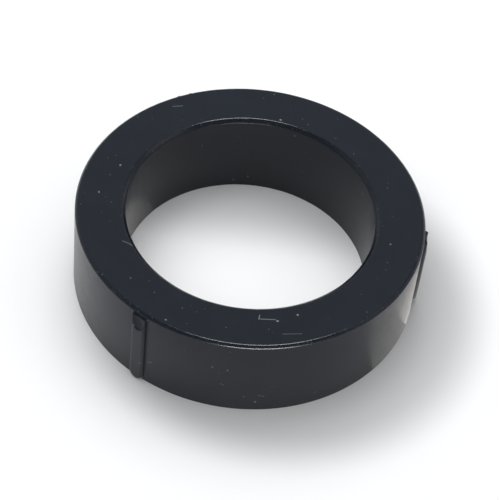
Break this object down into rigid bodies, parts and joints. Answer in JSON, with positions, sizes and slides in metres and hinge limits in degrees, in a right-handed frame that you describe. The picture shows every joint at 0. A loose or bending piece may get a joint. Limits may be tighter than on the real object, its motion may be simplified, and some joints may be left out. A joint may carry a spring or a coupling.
{
  "type": "fence post insulator ring",
  "caption": "Black moulded ring with outer crush ribs that fits round a fence post and keeps it electrically clear of its sleeve.",
  "frame": {"origin": "on the bore's axis, at the ring's underside", "axes": "+Z along the bore, up the post and towards the chamfered end; +X through the first crush rib"},
  "size_m": [0.0729, 0.072, 0.02],
  "materials": {
    "black_plastic": "satin, as moulded"
  },
  "bodies": {
    "root": {"insulator_ring": "black_plastic"}
  },
  "joints": []
}
